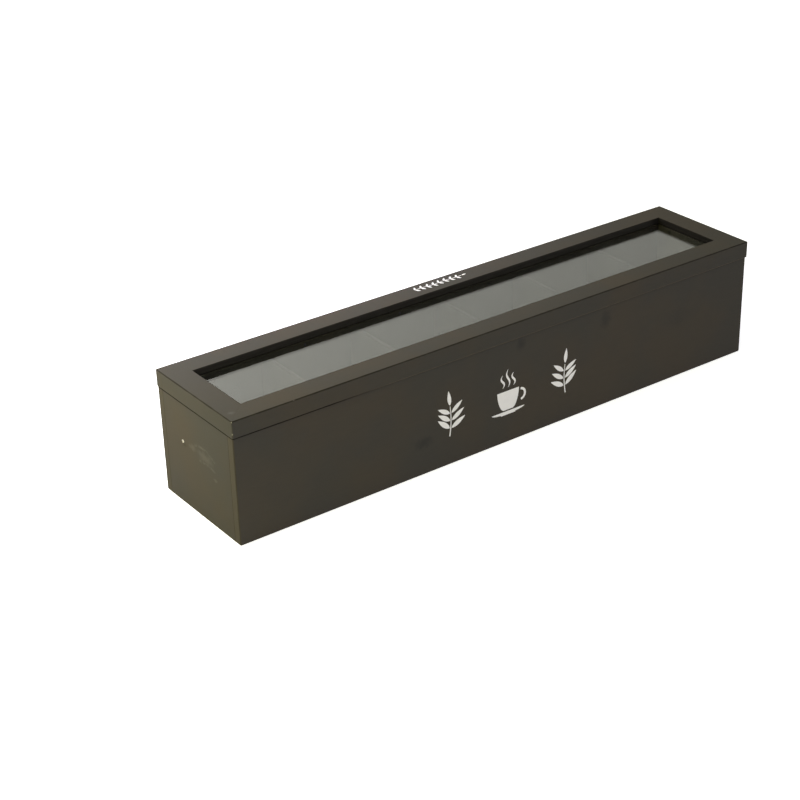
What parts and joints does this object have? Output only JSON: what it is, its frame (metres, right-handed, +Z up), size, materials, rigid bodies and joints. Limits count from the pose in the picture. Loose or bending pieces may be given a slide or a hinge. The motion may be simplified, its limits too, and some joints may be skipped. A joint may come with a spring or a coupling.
{
  "type": "tea bag box",
  "caption": "Long narrow painted wooden box with one row of compartments for tea bags, under a hinged lid that is a mitred frame with a glass window.",
  "frame": {"origin": "middle of the footprint, on the surface that the box stands on", "axes": "+X along the length of the box, front towards -Y, hinges towards +Y, +Z up"},
  "size_m": [0.43, 0.091, 0.0868],
  "materials": {
    "outer_paint": "satin taupe paint, worn along the edges",
    "inner_paint": "thin matt taupe paint",
    "glass": "clear float glass",
    "brass": "antique brass",
    "steel": "bright wire brads"
  },
  "bodies": {
    "box": {"front_wall": "outer_paint", "rear_wall": "outer_paint", "left_end": "outer_paint", "right_end": "outer_paint", "base_panel": "inner_paint", "divider_1": "inner_paint", "divider_2": "inner_paint", "divider_3": "inner_paint", "divider_4": "inner_paint", "divider_5": "inner_paint", "hinge_left_box_leaf": "brass", "hinge_left_pin": "brass", "hinge_right_box_leaf": "brass", "hinge_right_pin": "brass", "hinge_box_screws": "brass"},
    "lid": {"lid_front_rail": "outer_paint", "lid_rear_rail": "outer_paint", "lid_left_stile": "outer_paint", "lid_right_stile": "outer_paint", "glass_pane": "glass", "bead_front": "inner_paint", "bead_rear": "inner_paint", "bead_left": "inner_paint", "bead_right": "inner_paint", "bead_brads": "steel", "hinge_left_lid_leaf": "brass", "hinge_right_lid_leaf": "brass", "hinge_lid_screws": "brass"}
  },
  "joints": [
    {"name": "lid_hinge", "type": "hinge", "parent": "box", "child": "lid", "pos_m": [0, 0.04415, 0.07465], "axis": [-1, 0, 0], "range_deg": [0, 100]}
  ]
}
